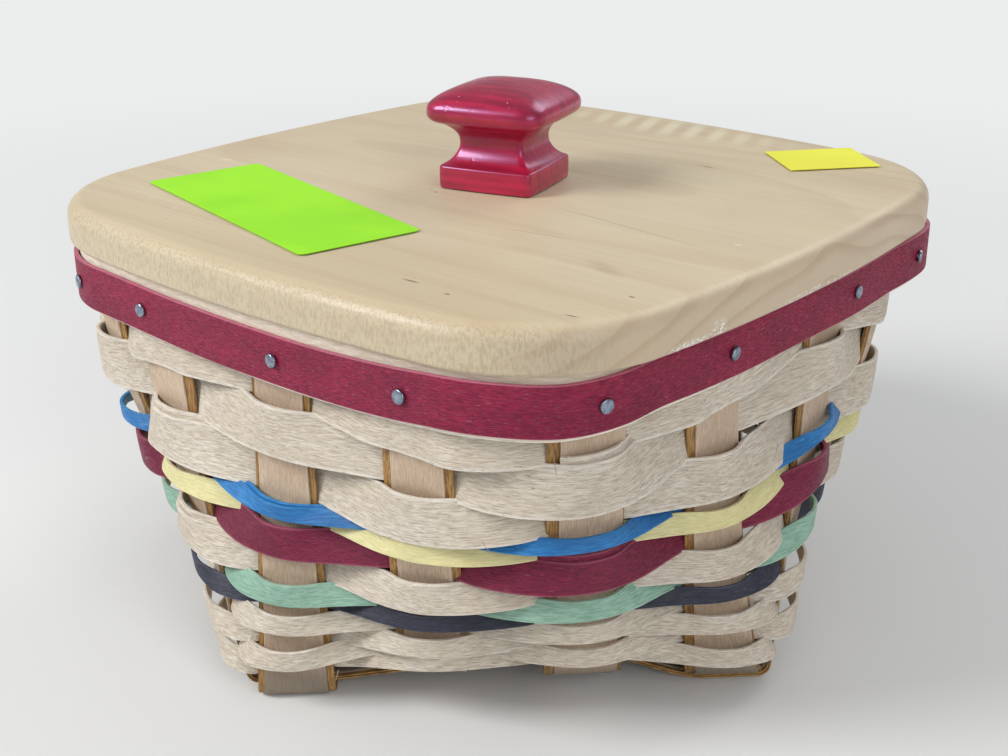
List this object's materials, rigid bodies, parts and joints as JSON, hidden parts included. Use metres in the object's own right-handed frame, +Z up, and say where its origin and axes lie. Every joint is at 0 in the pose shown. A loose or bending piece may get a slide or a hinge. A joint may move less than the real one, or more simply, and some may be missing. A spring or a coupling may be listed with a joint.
{
  "type": "lidded splint basket",
  "caption": "Square tapered woven splint basket with coloured weavers, tacked rim strips and a lift-off maple lid with a square red knob.",
  "frame": {"origin": "centre of the base on the surface that the basket stands on", "axes": "+Z up, -Y out of the rim's front side, +X out of the rim's right side"},
  "size_m": [0.178, 0.1785, 0.1333],
  "materials": {
    "natural_weaver": "bare split ash or maple, satin, fine lengthwise fibre",
    "upright_splint": "bare split wood, satin, darker gold edges",
    "blue_weaver": "dyed split wood, satin",
    "yellow_weaver": "pale dyed split wood, satin",
    "burgundy_weaver": "dyed split wood, satin",
    "green_weaver": "pale dyed split wood, satin",
    "slate_weaver": "dyed split wood, satin",
    "red_strip": "stained split wood, fine rough fibre, low sheen",
    "tack_steel": "plain steel, slightly dulled",
    "maple_board": "clear satin finish over maple",
    "red_knob": "glossy translucent stain over wood grain",
    "screw_steel": "zinc-plated steel",
    "green_paper": "blank fluorescent paper label",
    "yellow_paper": "blank fluorescent paper label"
  },
  "bodies": {
    "basket": {"rim_strip_red": "red_strip", "rim_strip_outer": "natural_weaver", "rim_strip_inner": "natural_weaver", "tack_01": "tack_steel", "tack_02": "tack_steel", "tack_03": "tack_steel", "tack_04": "tack_steel", "tack_05": "tack_steel", "tack_06": "tack_steel", "tack_07": "tack_steel", "tack_08": "tack_steel", "tack_09": "tack_steel", "tack_10": "tack_steel", "tack_11": "tack_steel", "tack_12": "tack_steel", "tack_13": "tack_steel", "tack_14": "tack_steel", "tack_15": "tack_steel", "tack_16": "tack_steel", "weaver_01_natural": "natural_weaver", "weaver_02_natural": "natural_weaver", "weaver_03_natural": "natural_weaver", "weaver_04_blue": "blue_weaver", "weaver_05_yellow": "yellow_weaver", "weaver_06_burgundy": "burgundy_weaver", "weaver_07_natural": "natural_weaver", "weaver_08_green": "green_weaver", "weaver_09_slate": "slate_weaver", "weaver_10_natural": "natural_weaver", "weaver_11_natural": "natural_weaver", "weaver_12_natural": "natural_weaver", "weaver_13_natural": "natural_weaver", "splint_a1": "upright_splint", "splint_a2": "upright_splint", "splint_a3": "upright_splint", "splint_a4": "upright_splint", "splint_b1": "upright_splint", "splint_b2": "upright_splint", "splint_b3": "upright_splint", "splint_b4": "upright_splint"},
    "lid": {"lid_board": "maple_board", "knob": "red_knob", "knob_screw": "screw_steel", "label_green_blank": "green_paper", "label_yellow_blank": "yellow_paper"}
  },
  "joints": [
    {"name": "lid_lift", "type": "slide", "parent": "basket", "child": "lid", "axis": [0, 0, 1], "range_m": [0, 0.06]}
  ]
}
